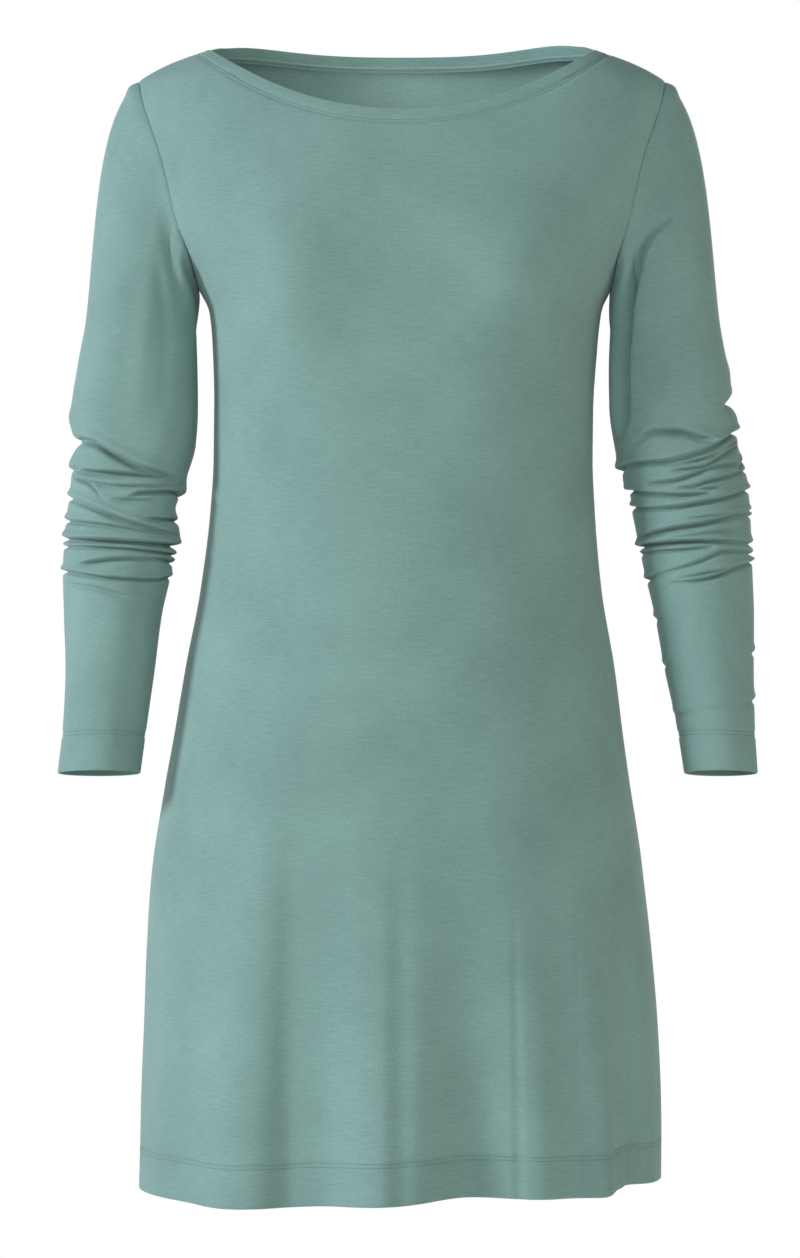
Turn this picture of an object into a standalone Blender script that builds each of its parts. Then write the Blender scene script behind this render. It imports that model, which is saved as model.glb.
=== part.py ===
"""A close-fitting jersey mini dress, hollow and filled out as worn.

A boat neck, long set-in sleeves pushed up into creases, and an A-line skirt in soft folds. Four pieces
are cut and sewn: front, back and two sleeves. The neckline, cuffs and hem are turned edges of those pieces.
The origin is midway between the two neck points of the shoulders; the front faces -Y and +X is the
wearer's left. Tables and sizes are in millimetres.
"""

import math

import bmesh
import bpy
import numpy as np

MM = 0.001

# Driving sizes
NECK_HALF = 148.0
NECK_DROP = 51.5
BACK_NECK_DROP = 0.5
BACK_NECK_RISE = 5.5
SHOULDER_HALF = 200.0
SHOULDER_HEIGHT = -25.0
UNDERARM_HEIGHT = -182.0
HEM_HEIGHT = -867.0
CUFF_HEIGHT = -548.0
WALL = 1.8
TURNED_WALL = 2.8
HEM_TURN = 30.0
SEAM_GAP = 0.3
ROUNDNESS = 2.2
NECK_CURVE = 2.15

# How the folds and the bust grow and fade
QUARTER_GIRTH = 1.36
FOLD_GROWTH = 1.25
BUST_FADE = 1.6
HEM_SWING = 3

# How a sleeve's head leaves the armhole and is drawn down into the arm
HEAD_PULL_UNDER = 20.0
HEAD_PULL_OVER = 105.0
HEAD_PULL_CURVE = 1.2
HEAD_SIDEWAYS = 1.1
HEAD_FALL = -0.25
HEAD_DRAW = 0.75
HEAD_SLANT = 0.15
FOLD_OVER_FROM = 0.70
CUFF_TILT = 0.1

FRONT = -1
BACK = 1

# Level sections of the body. Above the underarm the half width runs on under the sleeve head.
SECTION_COLUMNS = ("height", "half_width", "front_depth", "back_depth", "centre_x")
SECTIONS = (
    (0, 148.0, 45, 57, 0.8),
    (-5, 160.5, 48, 60, 0.8),
    (-11, 176, 53, 64, 0.8),
    (-18, 190, 58, 68, 0.8),
    (-25, 200, 61, 71, 0.8),
    (-43, 208, 69, 78, 0.8),
    (-62, 209, 77, 84, 0.8),
    (-84, 207, 85, 90, 0.8),
    (-110, 202, 92, 95, 1.0),
    (-130, 193, 96, 97, 1.2),
    (-150, 180, 99, 98, 1.8),
    (-170, 163.5, 101, 97, 2.4),
    (-182, 157, 102, 96, 3.0),
    (-200, 148.8, 102, 94, 3.3),
    (-228, 146, 99, 89, 3.0),
    (-274, 144, 93, 80, 2.0),
    (-310, 144, 91, 75, 1.6),
    (-350, 146, 93, 76, 1.2),
    (-410, 152.3, 99, 89, 0),
    (-470, 163, 106, 105, -0.8),
    (-520, 170.3, 110, 115, -1.9),
    (-562, 177, 114, 120, -2.8),
    (-620, 185.8, 119, 123, -3.0),
    (-684, 191.6, 125, 128, -1.6),
    (-745, 195.2, 131, 133, -0.2),
    (-806, 197.6, 137, 138, 0),
    (-867, 198.2, 142, 142, -0.8),
)

# The armhole seam seen from the front.
ARMHOLE_COLUMNS = ("height", "half_width")
ARMHOLE = (
    (-25, 200),
    (-43, 196),
    (-62, 189.5),
    (-84, 182),
    (-106, 176.5),
    (-127, 172),
    (-141, 168),
    (-158, 161.5),
    (-174, 158),
    (-182, 157),
)

# The bust is shaped by the cut: two low mounds.
BUST_COLUMNS = ("x", "height", "spread_x", "spread_z", "rise")
BUST = (
    (-80, -186, 48, 60, 13),
    (80, -186, 48, 60, 13),
    (0, -196, 36, 50, -4),
)

# Folds of the skirt: where each lies at the hem, where its line starts, its half width round the
# skirt, and how far it stands out (or in, below zero) at the hem.
FOLD_COLUMNS = ("x_hem", "x_top", "top", "width", "rise")
FRONT_FOLDS = (
    (-124, -96, -500, 28, 10),
    (-62, -52, -520, 26, -14),
    (-12, -14, -560, 25, 12),
    (56, 40, -540, 27, -16),
    (104, 84, -640, 19, 7),
    (148, 120, -560, 18, 11),
    (181, 150, -600, 16, -8),
)
BACK_FOLDS = (
    (-160, -124, -590, 20, 8),
    (-116, -94, -530, 27, -13),
    (-64, -50, -600, 22, 10),
    (-16, -18, -650, 20, -9),
    (34, 22, -540, 29, 13),
    (94, 74, -570, 25, -14),
    (148, 120, -610, 20, 9),
)

# The hem's height along the front, where the folds carry it up and down.
HEM_LINE_COLUMNS = ("x", "height")
HEM_LINE = (
    (-200, -862.5),
    (-122, -867),
    (-62, -865),
    (0, -862.5),
    (52, -858.5),
    (98, -859.5),
    (144, -860),
    (164, -856.5),
    (200, -855),
)

# Level sections of each sleeve: its outer and inner side, measured from the body's middle, how far it
# reaches to the front and back of its own middle, and where that middle is.
SLEEVE_COLUMNS = ("height", "outer", "inner", "front_depth", "back_depth", "middle_y")
SLEEVE_LEFT = (
    (-212, 242.5, 160, 50, 50, 1),
    (-243, 248, 159, 48, 49, 1),
    (-274, 252.5, 159.5, 46, 48, 0),
    (-300, 255.5, 162, 45, 47, -2),
    (-330, 263, 171, 45, 46, -5),
    (-360, 265, 177, 44, 44, -9),
    (-395, 266, 184, 41, 41, -14),
    (-430, 267, 192, 38, 38, -19),
    (-470, 266.5, 199, 34.5, 34.5, -24),
    (-510, 267, 207.5, 31.5, 31.5, -28),
    (-548, 269, 213.5, 30, 30, -31),
)
SLEEVE_RIGHT = (
    (-212, 240, 156, 50, 50, 1),
    (-243, 246, 155, 48, 49, 1),
    (-274, 250, 154.5, 46, 48, 0),
    (-300, 249, 156, 45, 47, -2),
    (-330, 250.5, 164, 45, 46, -5),
    (-360, 254, 168.5, 44, 44, -9),
    (-395, 256, 173.5, 41, 41, -14),
    (-430, 255, 181, 38, 38, -19),
    (-470, 253.5, 186, 34.5, 34.5, -24),
    (-510, 255, 191.5, 31.5, 31.5, -28),
    (-548, 259, 196.5, 30, 30, -31),
)

# Creases where the sleeve is pushed up: heights of the crease's line on the outer side, at the front,
# on the inner side and at the back, its half width, and its depth (below zero, a bulge) at the same
# four places.
CREASE_COLUMNS = (
    "outer", "front", "inner", "back", "width", "deep_outer", "deep_front", "deep_inner", "deep_back",
)
CREASES_LEFT = (
    (-292, -310, -318, -300, 6.0, 4.5, 6.0, 4.0, 5.0),
    (-306, -322, -338, -326, 9.0, -3.0, -3.5, -4.5, -3.0),
    (-316, -331, -346, -338, 5.0, 2.0, 4.5, 4.0, 4.5),
    (-338, -346, -360, -352, 5.5, 3.0, 5.0, 4.5, 4.5),
    (-356, -364, -374, -372, 5.5, 2.5, 4.5, 3.5, 4.5),
    (-377, -376, -386, -384, 5.0, 3.0, 5.0, 2.5, 3.5),
    (-388, -394, -404, -402, 5.5, 2.0, 4.0, 2.5, 3.0),
    (-402, -412, -428, -418, 6.0, 0.8, 2.0, 2.0, 2.0),
)
CREASES_RIGHT = (
    (-286, -309, -322, -304, 6.5, 4.5, 6.0, 4.0, 5.0),
    (-304, -322, -338, -322, 9.0, -2.0, -3.0, -4.5, -3.0),
    (-321, -334, -344, -334, 5.0, 3.0, 5.0, 4.0, 4.5),
    (-345, -352, -346, -350, 5.5, 2.5, 4.0, 3.5, 4.5),
    (-364, -363, -354, -366, 5.0, 3.0, 4.5, 2.5, 4.0),
    (-377, -374, -376, -380, 5.5, 3.0, 5.5, 3.5, 4.0),
    (-385, -396, -399, -394, 5.5, 2.0, 4.0, 2.5, 3.0),
    (-398, -408, -418, -410, 6.0, 1.0, 2.5, 2.0, 2.0),
)

# Rows and counts of the meshes. Rows above the underarm are shares of the way down to it, and those
# below it are heights.
FRONT_ACROSS = 36
BACK_ACROSS = 28
SHOULDER_ACROSS = 4
ROWS_ABOVE = (0.0, 0.03, 0.075, 0.14, 0.22, 0.31, 0.4, 0.49, 0.58, 0.67, 0.76, 0.85, 0.93, 1.0)
ROWS_BELOW = (-200, -222, -248, -280, -316, -356, -400, -450, -505, -560, -612, -662, -710, -756, -798)
SLEEVE_HEAD_ROWS = 7
HEAD_SPACING = 1.15
SLEEVE_TOP_ROWS = 4
SLEEVE_CREASE_ROWS = 17
SLEEVE_LOW_ROWS = 4
CREASES_FROM = -270.0
CREASES_TO = -430.0
SLEEVE_ROUND = 2 * (len(ROWS_ABOVE) - 1)

COLOURS = {
    "front": (0.176, 0.292, 0.275),
    "back": (0.165, 0.275, 0.259),
    "sleeve_left": (0.158, 0.262, 0.246),
    "sleeve_right": (0.186, 0.305, 0.287),
}


def columns(names, rows):
    return {name: np.array([row[i] for row in rows], float) for i, name in enumerate(names)}


SECTION = columns(SECTION_COLUMNS, SECTIONS)
ARM = columns(ARMHOLE_COLUMNS, ARMHOLE)
HEM = columns(HEM_LINE_COLUMNS, HEM_LINE)


def smooth(x, xs, ys):
    """A curve through the points (xs, ys), rising and falling only where they do."""
    order = np.argsort(xs)
    xs, ys = xs[order], ys[order]
    x = np.clip(x, xs[0], xs[-1])
    step = np.diff(xs)
    slope = np.diff(ys) / step
    tangent = np.zeros_like(ys)
    same = slope[:-1] * slope[1:] > 0
    both = np.where(same, slope[:-1] + slope[1:], 1.0)
    tangent[1:-1] = np.where(same, 2 * slope[:-1] * slope[1:] / both, 0.0)
    tangent[0], tangent[-1] = slope[0], slope[-1]
    i = np.clip(np.searchsorted(xs, x) - 1, 0, len(step) - 1)
    h = step[i]
    t = (x - xs[i]) / h
    return (
        (2 * t**3 - 3 * t**2 + 1) * ys[i]
        + (t**3 - 2 * t**2 + t) * h * tangent[i]
        + (-2 * t**3 + 3 * t**2) * ys[i + 1]
        + (t**3 - t**2) * h * tangent[i + 1]
    )


def section(name, height):
    return smooth(height, SECTION["height"], SECTION[name])


def around(share):
    """How far round a quarter section a point lies, for its share of the half width."""
    return np.sign(share) * np.arcsin(np.clip(np.abs(share), 0, 1) ** (ROUNDNESS / 2)) * 2 / math.pi


def skirt_folds(rows, across, height):
    """How far the folds of one side stand out from the plain section."""
    fold = columns(FOLD_COLUMNS, rows)
    hem_width = section("half_width", HEM_HEIGHT)
    quarter = section("half_width", height) * QUARTER_GIRTH
    out = np.zeros_like(across)
    for k in range(len(rows)):
        down = np.clip((fold["top"][k] - height) / (fold["top"][k] - HEM_HEIGHT), 0, 1)
        at_hem = around(fold["x_hem"][k] / hem_width)
        at_top = around(fold["x_top"][k] / hem_width * 1.15)
        line = at_top + (at_hem - at_top) * down
        away = (across - line) * quarter / fold["width"][k]
        out += fold["rise"][k] * down**FOLD_GROWTH * np.exp(-(away**2))
    return out


def on_body(side, x, height):
    """The point of the front or back at this x (from the body's middle) and height."""
    half = section("half_width", height)
    share = np.clip(x / half, -1, 1)
    depth = section("front_depth" if side == FRONT else "back_depth", height)
    reach = (1 - np.abs(share) ** ROUNDNESS) ** (1 / ROUNDNESS)
    y = depth * reach
    if side == FRONT:
        bust = columns(BUST_COLUMNS, BUST)
        for k in range(len(BUST)):
            away_x = (x - bust["x"][k]) / bust["spread_x"][k]
            away_z = (height - bust["height"][k]) / bust["spread_z"][k]
            y = y + bust["rise"][k] * np.exp(-(away_x**2) - away_z**2) * np.minimum(1, reach * BUST_FADE)
    rows = FRONT_FOLDS if side == FRONT else BACK_FOLDS
    stand_out = skirt_folds(rows, around(share), height)
    lean_x = np.sign(share) * np.abs(share) ** (ROUNDNESS - 1) / half
    lean_y = np.maximum(reach, 1e-6) ** (ROUNDNESS - 1) / depth
    long = np.hypot(lean_x, lean_y)
    x = x + stand_out * lean_x / long * np.minimum(1, reach * 2)
    y = y + stand_out * lean_y / long
    middle = section("centre_x", height)
    return np.stack([x + middle, side * (y + SEAM_GAP / 2), height + 0 * x], axis=-1)


def spread_evenly(points, count):
    """Points at even distances along a line of points."""
    gone = np.concatenate([[0], np.cumsum(np.linalg.norm(np.diff(points, axis=0), axis=1))])
    place = np.linspace(0, gone[-1], count)
    return np.stack([np.interp(place, gone, points[:, k]) for k in range(points.shape[1])], axis=1)


def top_edge(side, across):
    """The shoulder seam, the neckline and the other shoulder seam, as (x, height)."""
    fine = np.linspace(0, 1, 60)
    slope_height = SHOULDER_HEIGHT * fine
    slope_x = np.array([section("half_width", h) for h in slope_height])
    slope_x[0], slope_x[-1] = NECK_HALF, SHOULDER_HALF
    shoulder = np.stack([slope_x, slope_height], axis=1)
    turn = np.linspace(0, math.pi, 241)
    neck_x = -NECK_HALF * np.cos(turn)
    drop = NECK_DROP if side == FRONT else BACK_NECK_DROP
    neck_height = -drop * (1 - np.abs(neck_x / NECK_HALF) ** NECK_CURVE)
    if side == BACK:
        neck_height += BACK_NECK_RISE * np.sin(math.pi * np.abs(neck_x / NECK_HALF) ** 3)
    solid = on_body(side, neck_x, neck_height)
    along = spread_evenly(np.concatenate([solid, neck_x[:, None]], axis=1), across - 2 * SHOULDER_ACROSS + 1)
    neck = np.stack([along[:, 3], along[:, 2]], axis=1)
    left = spread_evenly(shoulder, SHOULDER_ACROSS + 1)
    right = left[::-1] * [-1, 1]
    return np.concatenate([right[:-1], neck, left[1:]])


def panel_places(side, across):
    """The (x, height) grid of the front or back: rows from the top edge to the hem."""
    top = top_edge(side, across)
    turn = np.linspace(-1, 1, across + 1) * math.pi / 2
    share = np.sign(turn) * np.abs(np.sin(turn)) ** (2 / ROUNDNESS)
    under = share * section("half_width", UNDERARM_HEIGHT)
    rows = []
    for down in ROWS_ABOVE:
        height = top[:, 1] + down * (UNDERARM_HEIGHT - top[:, 1])
        edge = smooth(height[0], ARM["height"], ARM["half_width"])
        wide = (1 - down) * top[:, 0] / SHOULDER_HALF + down * under / under[-1]
        rows.append(np.stack([wide * edge, height], axis=1))
    for level in (*ROWS_BELOW, HEM_HEIGHT + HEM_TURN, HEM_HEIGHT):
        down = (UNDERARM_HEIGHT - level) / (UNDERARM_HEIGHT - HEM_HEIGHT)
        x = share * section("half_width", level)
        swing = smooth(x, HEM["x"], HEM["height"]) - HEM_HEIGHT
        rows.append(np.stack([x, level + swing * down**HEM_SWING], axis=1))
    return np.array(rows)


def grid_normals(points, round_it):
    """The outward direction at each point of a grid, and the two directions along it."""
    down = np.gradient(points, axis=0)
    if round_it:
        across = np.roll(points, -1, axis=1) - np.roll(points, 1, axis=1)
    else:
        across = np.gradient(points, axis=1)
    normal = np.cross(down, across)
    return normal / np.maximum(np.linalg.norm(normal, axis=-1, keepdims=True), 1e-9)


def loft(name, outer, inner, round_it):
    """A wall between an outer and an inner grid of points, closed along its edges."""
    rows, count = outer.shape[:2]
    bm = bmesh.new()
    skins = [[[bm.verts.new(p * MM) for p in row] for row in grid] for grid in (outer, inner)]
    spans = count if round_it else count - 1
    for skin, flip in zip(skins, (False, True)):
        for i in range(rows - 1):
            for j in range(spans):
                k = (j + 1) % count
                face = [skin[i][j], skin[i + 1][j], skin[i + 1][k], skin[i][k]]
                bm.faces.new(face[::-1] if flip else face)
    rims = [(0, j, 0, (j + 1) % count) for j in range(spans)]
    rims += [(rows - 1, (j + 1) % count, rows - 1, j) for j in range(spans)]
    if not round_it:
        rims += [(i + 1, 0, i, 0) for i in range(rows - 1)]
        rims += [(i, count - 1, i + 1, count - 1) for i in range(rows - 1)]
    out, inside = skins
    for i, j, k, m in rims:
        bm.faces.new([out[i][j], out[k][m], inside[k][m], inside[i][j]])
    mesh = bpy.data.meshes.new(name)
    bm.to_mesh(mesh)
    bm.free()
    mesh.shade_smooth()
    piece = bpy.data.objects.new(name, mesh)
    bpy.context.scene.collection.objects.link(piece)
    piece.data.materials.append(jersey(name))
    return piece


def jersey(name):
    material = bpy.data.materials.new(f"jersey_{name}")
    material.use_nodes = True
    shader = material.node_tree.nodes["Principled BSDF"]
    shader.inputs["Base Color"].default_value = (*COLOURS[name], 1)
    shader.inputs["Roughness"].default_value = 0.82
    shader.inputs["Metallic"].default_value = 0.0
    return material


def panel(name, side, across):
    """The front or the back. It returns its outer points and directions, for the sleeves to meet."""
    places = panel_places(side, across)
    outer = on_body(side, places[..., 0], places[..., 1])
    if side == BACK:
        outer = outer[:, ::-1]
    normal = grid_normals(outer, False)
    seams = np.zeros(outer.shape[:2], bool)
    seams[len(ROWS_ABOVE) - 1 :, [0, -1]] = True
    seams[0, : SHOULDER_ACROSS + 1] = True
    seams[0, -SHOULDER_ACROSS - 1 :] = True
    normal[seams, 1] = 0
    normal /= np.linalg.norm(normal, axis=-1, keepdims=True)
    wall = np.full(outer.shape[:2], WALL)
    wall[:2, SHOULDER_ACROSS:-SHOULDER_ACROSS] = TURNED_WALL
    wall[-2:] = TURNED_WALL
    inner = outer - normal * wall[..., None]
    loft(name, outer, inner, False)
    return outer, normal


def armhole_edges(front, back, end):
    """The loop of the armhole on one side, from the shoulder over the front to the underarm and up the back."""
    last = len(ROWS_ABOVE)
    loops = []
    for grid_front, grid_back in zip(front, back):
        down = grid_front[:last, end]
        up = grid_back[:last, -1 - end][::-1]
        loops.append((down, up))
    return loops


def one_ring(halves):
    """The two halves of a loop as one ring of points, the first at the shoulder."""
    down, up = halves
    shoulder = (down[0] + up[-1]) / 2
    under = (down[-1] + up[0]) / 2
    return np.concatenate([[shoulder], down[1:-1], [under], up[1:-1]])


def unit(v):
    return v / np.maximum(np.linalg.norm(v, axis=-1, keepdims=True), 1e-9)


def crease_depth(rows, turn, height):
    """How far the creases pull the sleeve in at this turn round the arm and this height."""
    crease = columns(CREASE_COLUMNS, rows)
    outer = np.clip(np.cos(turn), 0, 1)
    inner = np.clip(-np.cos(turn), 0, 1)
    front = np.clip(np.sin(turn), 0, 1)
    back = np.clip(-np.sin(turn), 0, 1)
    shares = np.stack([outer, front, inner, back]) ** 2
    pull = np.zeros_like(height)
    for k in range(len(rows)):
        line = sum(s * crease[n][k] for s, n in zip(shares, ("outer", "front", "inner", "back")))
        deep = sum(s * crease["deep_" + n][k] for s, n in zip(shares, ("outer", "front", "inner", "back")))
        pull += deep * np.exp(-(((height - line) / crease["width"][k]) ** 2))
    return pull


def sleeve_rings(table_rows, crease_rows, hand, heights):
    """Level rings of the arm of a sleeve, one for each height."""
    table = columns(SLEEVE_COLUMNS, table_rows)
    turn = np.arange(SLEEVE_ROUND) * 2 * math.pi / SLEEVE_ROUND
    rings = []
    for height in heights:
        outer = smooth(height, table["height"], table["outer"])
        inner = smooth(height, table["height"], table["inner"])
        front = smooth(height, table["height"], table["front_depth"])
        back = smooth(height, table["height"], table["back_depth"])
        middle = smooth(height, table["height"], table["middle_y"])
        pull = crease_depth(crease_rows, turn, np.full(SLEEVE_ROUND, height))
        half = (outer - inner) / 2
        depth = np.where(np.sin(turn) > 0, front, back)
        x = (outer + inner) / 2 + (half - pull) * np.cos(turn)
        y = middle - (depth - pull) * np.sin(turn)
        tilt = CUFF_TILT * np.clip((CREASES_TO - height) / (CREASES_TO - CUFF_HEIGHT), 0, 1)
        rings.append(np.stack([hand * x, y, height - tilt * (y - middle)], axis=1))
    return np.array(rings)


def sleeve(name, hand, table_rows, crease_rows, front, back):
    """A set-in sleeve. Its head starts at the armhole and is drawn out and down into the arm."""
    end = -1 if hand > 0 else 0
    halves_outer, halves_normal = armhole_edges(front, back, end)
    seam = one_ring(halves_outer)
    normal = unit(one_ring(halves_normal))
    edge = unit(np.roll(seam, -1, axis=0) - np.roll(seam, 1, axis=0))
    away = unit(np.cross(normal, edge)) * hand
    share = np.arange(SLEEVE_ROUND) / SLEEVE_ROUND
    low = 1 - np.abs(2 * share - 1)
    fold = np.clip((low - FOLD_OVER_FROM) / (1 - FOLD_OVER_FROM), 0, 1) * math.pi
    sideways = HEAD_SIDEWAYS * np.outer(1 - low, [hand, 0, HEAD_FALL])
    leave = unit(away * np.cos(fold)[:, None] + normal * np.sin(fold)[:, None] + sideways)
    outward = unit(normal * np.cos(fold)[:, None] - away * np.sin(fold)[:, None])
    corner = np.minimum(fold, math.pi / 2)[:, None]
    start = seam + SEAM_GAP * unit(away * np.cos(corner) + normal * np.sin(corner))
    heights = sleeve_heights()
    arm = sleeve_rings(table_rows, crease_rows, hand, heights)
    reach = np.linalg.norm(arm[0] - start, axis=1)
    pull_out = (HEAD_PULL_UNDER + HEAD_PULL_OVER * (1 - low) ** HEAD_PULL_CURVE)[:, None]
    pull_down = (HEAD_DRAW * reach)[:, None]
    down = np.array([HEAD_SLANT * hand, 0, -1.0])
    head = []
    for row in range(SLEEVE_HEAD_ROWS):
        t = (row / SLEEVE_HEAD_ROWS) ** HEAD_SPACING
        head.append(
            (2 * t**3 - 3 * t**2 + 1) * start
            + (t**3 - 2 * t**2 + t) * pull_out * leave
            + (-2 * t**3 + 3 * t**2) * arm[0]
            + (t**3 - t**2) * pull_down * down
        )
    outer = np.concatenate([np.array(head), arm])
    if hand > 0:
        outer = outer[:, ::-1]
        outward = outward[::-1]
    facing = grid_normals(outer, True)
    facing[0] = outward
    wall = np.full(outer.shape[:2], WALL)
    wall[-2:] = TURNED_WALL
    inner = outer - facing * wall[..., None]
    loft(name, outer, inner, True)


def sleeve_heights():
    """Heights of the arm's rings, closest together where the creases are."""
    top = SLEEVE_LEFT[0][0]
    turned = CUFF_HEIGHT + HEM_TURN
    upper = np.linspace(top, CREASES_FROM, SLEEVE_TOP_ROWS, endpoint=False)
    creased = np.linspace(CREASES_FROM, CREASES_TO, SLEEVE_CREASE_ROWS, endpoint=False)
    lower = np.linspace(CREASES_TO, turned, SLEEVE_LOW_ROWS + 1)
    return np.concatenate([upper, creased, lower, [CUFF_HEIGHT]])


def build():
    for old in list(bpy.data.objects):
        bpy.data.objects.remove(old)
    front = panel("front", FRONT, FRONT_ACROSS)
    back = panel("back", BACK, BACK_ACROSS)
    sleeve("sleeve_left", 1, SLEEVE_LEFT, CREASES_LEFT, front, back)
    sleeve("sleeve_right", -1, SLEEVE_RIGHT, CREASES_RIGHT, front, back)


build()
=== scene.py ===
"""Looks for a long-sleeved jersey dress: its cloth, turned edges, seams and stitching, in a pale studio.

The four cut pieces are made again as thin cloth on the form of their solids, with the finer folds and
creases. Sizes and tables are in millimetres, and those of the studio in metres.
"""

import math

import bmesh
import bpy
import numpy as np
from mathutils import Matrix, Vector


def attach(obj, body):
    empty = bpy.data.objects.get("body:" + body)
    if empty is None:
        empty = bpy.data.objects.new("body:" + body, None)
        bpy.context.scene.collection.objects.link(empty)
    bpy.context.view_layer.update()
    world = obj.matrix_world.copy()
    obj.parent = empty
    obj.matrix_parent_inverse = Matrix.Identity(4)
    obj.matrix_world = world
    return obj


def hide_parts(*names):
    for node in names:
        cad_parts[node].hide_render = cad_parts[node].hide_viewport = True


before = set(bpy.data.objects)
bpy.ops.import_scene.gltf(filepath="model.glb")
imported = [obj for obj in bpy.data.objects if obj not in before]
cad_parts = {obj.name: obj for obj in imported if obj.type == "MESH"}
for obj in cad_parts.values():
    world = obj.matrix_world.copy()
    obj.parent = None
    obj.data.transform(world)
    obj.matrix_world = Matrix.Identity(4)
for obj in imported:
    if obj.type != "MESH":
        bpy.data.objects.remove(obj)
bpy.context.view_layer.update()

MM = 0.001
FRONT, BACK = -1, 1
LEFT, RIGHT = 1, -1

# Sizes of the dress
NECK_HALF = 148.0
NECK_DROP = 51.5
BACK_NECK_DROP = 0.5
BACK_NECK_RISE = 5.5
BACK_NECK_TILT = 0.18
NECK_CURVE = 2.15
SHOULDER_HALF = 200.0
SHOULDER_HEIGHT = -25.0
UNDERARM_HEIGHT = -182.0
HEM_HEIGHT = -867.0
CUFF_HEIGHT = -548.0
ARM_TOP = -212.0
ROUNDNESS = 2.2
SHOULDER_SHARE = 0.22

# Corners of the neck, where its turned edge fades into the shoulder seam
CORNER_FADE = 14.0
CORNER_REACH = 8.0
CORNER_DROP = 1.3
CORNER_RISE = 0.9
CORNER_RISE_IN = 7.0
CORNER_RISE_WIDTH = 5.0

# How the folds and the bust grow and fade
QUARTER_GIRTH = 1.36
FOLD_GROWTH = 1.25
FOLD_TOP_SPREAD = 1.15
FOLD_FADE = 2
BUST_FADE = 1.6
HEM_SWING = 3

# How a sleeve's head leaves the armhole and is drawn down into the arm
HEAD_PULL_UNDER = 20.0
HEAD_PULL_OVER = 105.0
HEAD_PULL_CURVE = 1.2
HEAD_SIDEWAYS = 1.1
HEAD_FALL = -0.25
HEAD_DRAW = 0.75
HEAD_SLANT = 0.15
FOLD_OVER_FROM = 0.70

# The soft ridge of the head along the top of its seam
HEAD_RIDGE = 2.4
HEAD_RIDGE_AT = 7.0
HEAD_RIDGE_WIDTH = 6.0
HEAD_RIDGE_FADE = 6
HEAD_SEAM_FLAT = 0.8

# The arm of a sleeve
CUFF_TILT = 0.1
ARM_BOXY = 0.8
CREASES_FROM = -262.0
CREASES_TO = -430.0
CREASES_OFF_SEAM = 25.0

# The profile of a crease, in half widths of its line
STEEP_SIDE = 0.42
FLAT_SIDE = 0.85
LIP_AT = 1.25
LIP_BELOW = 0.6
LIP_ABOVE = 1.3
SIDE_DEPTH = 1.35
FRONT_DEPTH = 2.3

# Seams: their gap, how they sink between the pieces, and the cloth turned in behind them
SEAM_GAP = 0.05
SEAM_SINK = 0.6
SIDE_SINK = 0.2
SIDE_SINK_BELOW = 4.0
SEAM_WIDTH = 1.1
ALLOWANCE = 3.0
ALLOWANCE_STEPS = (0.8, 1.8, ALLOWANCE)

# Puckers beside a seam: depth, lengths of their waves, and where they lie
PUCKER = 0.22
PUCKER_WAVES = (7.3, 4.9, 61.0)
PUCKER_AT = 3.0
PUCKER_WIDTH = 3.2

# Turned edges, with their twin rows of stitches
NECK_ROWS = (8.8, 11.2)
NECK_TURN = 12.0
HEM_ROWS = (28.0, 31.0)
HEM_TURN = 32.0
CUFF_ROWS = (27.0, 29.6)
CUFF_TURN = 31.0
FOLD_RADIUS = 0.9
STITCH_DIP = 0.8
STITCH_DIP_WIDTH = 0.9

# Stitches and their thread
STITCH_PITCH = 2.4
STITCH_LENGTH = 1.7
THREAD_RADIUS = 0.3
THREAD_SUNK = 0.1
SEAM_PITCH = 2.1
SEAM_STITCH = 1.2
SEAM_THREAD = 0.28
LOOPER_RADIUS = 0.32
INNER_LINE = 7.2
INNER_ROWS = (8.0, 10.4)
ZIGZAG_PITCH = 1.5

# The knit: the lean of its grain near the shoulders, its noises to the metre, and light let through
GRAIN_LEAN = 0.4
GRAIN_LEAN_FROM = -110.0
GRAIN_LEAN_OVER = 60.0
STREAKS = (90, 900, 1)
GRAIN = 700.0
CLOUDS = 14.0
LET_THROUGH = 0.12

# The studio
FLOOR_RADIUS = 4.6
FLOOR_HEIGHT = -1.45
FLOOR_GLOW = 0.42
ROOM_LIGHT = 0.14
CAMERA_PLACE = (-0.0008, -4.2, -0.440)
PICTURE_HEIGHT = 0.956
SENSOR = 36.0
LAMPS = (
    ("key", (-3.1, -1.15, 0.7), (0, 0, -0.3), 0.6, 97.0, (0.91, 0.99, 1.06)),
    ("quarter", (-2.2, -2.8, 0.4), (0, 0, -0.42), 1.4, 16.0, (0.98, 0.98, 0.95)),
    ("front", (-0.4, -4.0, 0.4), (0, 0, -0.42), 1.8, 32.0, (0.84, 1.0, 0.95)),
    ("top", (0.9, -1.5, 1.5), (0, 0, -0.2), 0.8, 6.0, (1.0, 1.0, 1.0)),
    ("fill", (3.0, -1.6, 0.0), (0, 0, -0.42), 1.8, 25.0, (1.03, 0.98, 0.8)),
    ("back", (1.4, 3.2, 0.6), (0, 0, -0.42), 1.6, 26.0, (1.0, 1.0, 0.97)),
    ("back_fill", (-1.8, 3.0, 0.4), (0, 0, -0.42), 1.6, 16.0, (0.97, 1.0, 1.0)),
    ("inside", (0, -0.025, -0.33), (0, 0.075, -0.06), 0.04, 0.042, (1.0, 1.0, 1.0)),
)

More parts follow.
